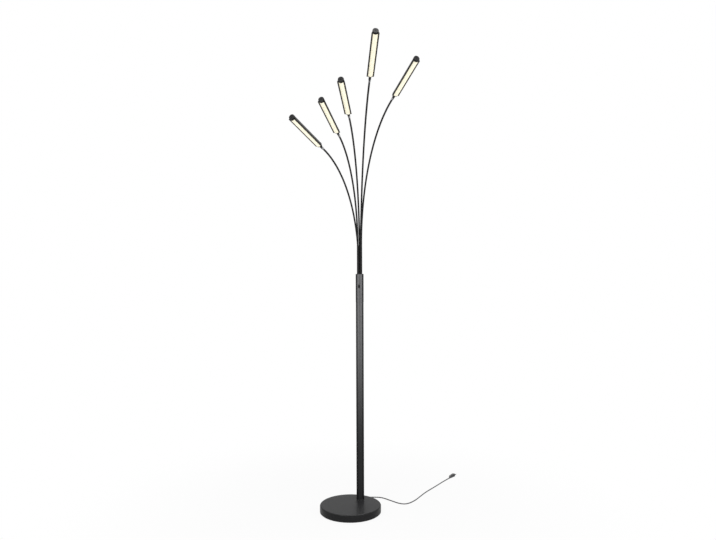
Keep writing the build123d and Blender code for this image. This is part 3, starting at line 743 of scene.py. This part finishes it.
class LAMP_OT_tie_clasp(bpy.types.Operator):
    """Adds the clasp of the tie round the put-away lead"""
    bl_idname = "lamp.tie_clasp"
    bl_label = "Tie clasp"

    def execute(self, context):
        length = context.scene.lamp_sizes.clasp_length
        width, height = 0.0082, 0.0026
        sunk = 0.0001           # how deep it sits in the tie
        forward = 0.004         # from the tie's middle to its own
        border, recess = 0.0012, 0.0005
        centre = node_middle("cord_tie")
        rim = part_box("cord_tie")[1].z + height - sunk
        clear_selection()
        bpy.ops.mesh.primitive_cube_add(
            size=1, scale=(width, length, height),
            location=(centre.x, centre.y - forward, rim - height / 2))
        bpy.ops.object.transform_apply(location=True, scale=True)
        bpy.ops.object.mode_set(mode="EDIT")
        pick("faces", facing((0, 0, 1)))
        bpy.ops.mesh.inset(thickness=border)
        bpy.ops.mesh.extrude_region_move(TRANSFORM_OT_translate={"value": (0, 0, -recess)})
        pick("edges", lambda edge: abs(middle(edge).z - rim) < 1e-5
             or abs(edge.verts[0].co.z - edge.verts[1].co.z) > height / 2)
        bpy.ops.mesh.bevel(offset=0.0005, segments=3)
        finish_piece("tie_clasp", "tie", "lamp")
        return {"FINISHED"}


def plug_place():
    """Matrix of the plug's own frame: the lead's end on the floor, +X towards the pins."""
    forward = Vector((cos(PLUG_HEADING), sin(PLUG_HEADING), 0))
    across = Vector((-sin(PLUG_HEADING), cos(PLUG_HEADING), 0))
    turned = Matrix((forward, across, (0, 0, 1))).transposed().to_4x4()
    return Matrix.Translation(Vector(LEAD_OUT[-1]) * Vector((1, 1, 0))) @ turned


class LAMP_OT_pin_sleeves(bpy.types.Operator):
    """Adds the insulating sleeves of the plug's pins"""
    bl_idname = "lamp.pin_sleeves"
    bl_label = "Pin sleeves"

    def execute(self, context):
        length = context.scene.lamp_sizes.sleeve_length
        clear_selection()
        bpy.ops.mesh.primitive_cylinder_add(
            vertices=32, radius=PIN_SLEEVE_RADIUS, depth=length, rotation=(0, pi / 2, 0),
            location=(PIN_ROOT + length / 2, PIN_SIDE, PLUG_MIDDLE_Z))
        bpy.ops.object.transform_apply(location=True, rotation=True)
        bpy.ops.object.mode_set(mode="EDIT")
        pick("faces", facing((1, 0, 0)))
        bpy.ops.mesh.bevel(offset=0.00006, segments=2)
        bpy.ops.mesh.select_all(action="SELECT")
        bpy.ops.mesh.duplicate()
        bpy.ops.transform.translate(value=(0, -2 * PIN_SIDE, 0))
        finish_piece("pin_sleeves", "plug", "lamp", plug_place())
        return {"FINISHED"}


class LAMP_OT_plug_grips(bpy.types.Operator):
    """Adds the grip ridges on both flanks of the plug"""
    bl_idname = "lamp.plug_grips"
    bl_label = "Plug grips"

    def execute(self, context):
        clear_selection()
        bpy.ops.mesh.primitive_cube_add(
            size=1, scale=GRIP_SIZE, location=(GRIP_FRONT, GRIP_SIDE, PLUG_MIDDLE_Z))
        bpy.ops.object.transform_apply(location=True, scale=True)
        bpy.ops.object.mode_set(mode="EDIT")
        pick("edges", lambda edge: middle(edge).y > GRIP_SIDE)
        bpy.ops.mesh.bevel(offset=0.0005, segments=3)
        bpy.ops.mesh.select_all(action="SELECT")
        for _ in range(context.scene.lamp_sizes.grip_count - 1):
            bpy.ops.mesh.duplicate()
            bpy.ops.transform.translate(value=(-GRIP_PITCH, 0, 0))
        mirror((False, True, False))
        finish_piece("plug_grips", "plug", "lamp", plug_place())
        return {"FINISHED"}


def add_floor(colour):
    """Floor that is white to the camera, a little less near the lamp, where its shadow shows."""
    bpy.ops.mesh.primitive_plane_add(size=FLOOR_SIZE)
    floor = bpy.context.object
    floor.name = "studio_floor"
    ground = Finish("pale_floor")
    plain = ground.node("ShaderNodeBsdfDiffuse", None, {"Color": colour})
    white = ground.node("ShaderNodeEmission", None, {"Color": WHITE, "Strength": 1.0})
    away = ground.node("ShaderNodeVectorMath", {"operation": "LENGTH"},
                       {"Vector": ground.place()}, output="Value")
    share = ground.ease(away, 0.3, 1.3, 0.91, 1.0)
    ground.end("ShaderNodeOutputMaterial", ground.blend(ground.seen() * share, plain, white))
    floor.data.materials.append(ground.material)


def add_world(scene):
    """White surroundings that light the lamp dimly, with a soft box overhead in reflections."""
    scene.world = bpy.data.worlds.new("studio_white")
    scene.world.use_nodes = True
    sky = Nodes(scene.world.node_tree)
    dim, clear, box = (
        sky.node("ShaderNodeBackground", None, {"Color": WHITE, "Strength": strength})
        for strength in (AMBIENT, 1.0, SOFT_BOX))
    upward = sky.height(sky.node("ShaderNodeTexCoord", output="Generated"))
    overhead = sky.blend(sky.ease(upward, 0.7, 0.92), clear, box)
    sky.end("ShaderNodeOutputWorld", sky.blend(sky.seen(), dim, overhead))


def add_lights(scene):
    for name, place, target, size, power in LIGHTS:
        light = bpy.data.lights.new(name, "AREA")
        light.shape = "DISK"
        light.size = size
        light.energy = power
        lamp = bpy.data.objects.new(name, light)
        scene.collection.objects.link(lamp)
        lamp.location = place
        aim = Vector(target) - Vector(place)
        lamp.rotation_euler = aim.to_track_quat("-Z", "Y").to_euler()


def add_camera(scene):
    """The photograph's camera."""
    data = bpy.data.cameras.new("photo_camera")
    data.sensor_fit = "HORIZONTAL"
    data.sensor_width = SENSOR_WIDTH
    data.lens = FOCAL_LENGTH
    data.clip_end = FAR_CLIP
    camera = bpy.data.objects.new("photo_camera", data)
    scene.collection.objects.link(camera)
    scene.camera = camera
    ahead = Vector((0, cos(CAMERA_PITCH), -sin(CAMERA_PITCH)))
    level, over = Vector((1, 0, 0)), Vector((0, sin(CAMERA_PITCH), cos(CAMERA_PITCH)))
    right = level * cos(CAMERA_ROLL) + over * sin(CAMERA_ROLL)
    up = over * cos(CAMERA_ROLL) - level * sin(CAMERA_ROLL)
    camera.matrix_world = Matrix.Translation(CAMERA_PLACE) @ Matrix(
        (right, up, -ahead)).transposed().to_4x4()


class LAMP_OT_stage(bpy.types.Operator):
    """Adds the pale floor, the soft lights and the photograph's camera"""
    bl_idname = "lamp.stage"
    bl_label = "Stage"

    def execute(self, context):
        scene = context.scene
        clear_selection()
        add_floor(tuple(scene.lamp_colours.floor))
        add_world(scene)
        add_lights(scene)
        add_camera(scene)
        scene.view_settings.view_transform = "Standard"
        return {"FINISHED"}


class LAMP_PT_panel(bpy.types.Panel):
    """The lamp's pieces and settings"""
    bl_idname = "LAMP_PT_panel"
    bl_label = "Tree floor lamp"
    bl_space_type = "VIEW_3D"
    bl_region_type = "UI"
    bl_category = "Lamp"

    def draw(self, context):
        for group in (context.scene.lamp_sizes, context.scene.lamp_colours):
            box = self.layout.box()
            for key in group.bl_rna.properties.keys():
                if key not in ("rna_type", "name"):
                    box.prop(group, key)
        for operator in OPERATORS:
            self.layout.operator(operator.bl_idname)


OPERATORS = (
    LAMP_OT_finishes, LAMP_OT_stage, LAMP_OT_mains_cord, LAMP_OT_end_screws,
    LAMP_OT_knuckle_rivets, LAMP_OT_rod_bushes, LAMP_OT_foot_gasket, LAMP_OT_tie_clasp,
    LAMP_OT_pin_sleeves, LAMP_OT_plug_grips)
CLASSES = (LampSizes, LampColours, *OPERATORS, LAMP_PT_panel)


def register():
    for made in CLASSES:
        bpy.utils.register_class(made)
    bpy.types.Scene.lamp_sizes = PointerProperty(type=LampSizes)
    bpy.types.Scene.lamp_colours = PointerProperty(type=LampColours)


def unregister():
    del bpy.types.Scene.lamp_colours
    del bpy.types.Scene.lamp_sizes
    for made in reversed(CLASSES):
        bpy.utils.unregister_class(made)


def main():
    register()
    bpy.ops.lamp.finishes()
    bpy.ops.lamp.stage()
    bpy.ops.lamp.mains_cord()
    bpy.ops.lamp.end_screws()
    bpy.ops.lamp.knuckle_rivets()
    bpy.ops.lamp.rod_bushes()
    bpy.ops.lamp.foot_gasket()
    bpy.ops.lamp.tie_clasp()
    bpy.ops.lamp.pin_sleeves()
    bpy.ops.lamp.plug_grips()


if __name__ == "__main__":
    main()
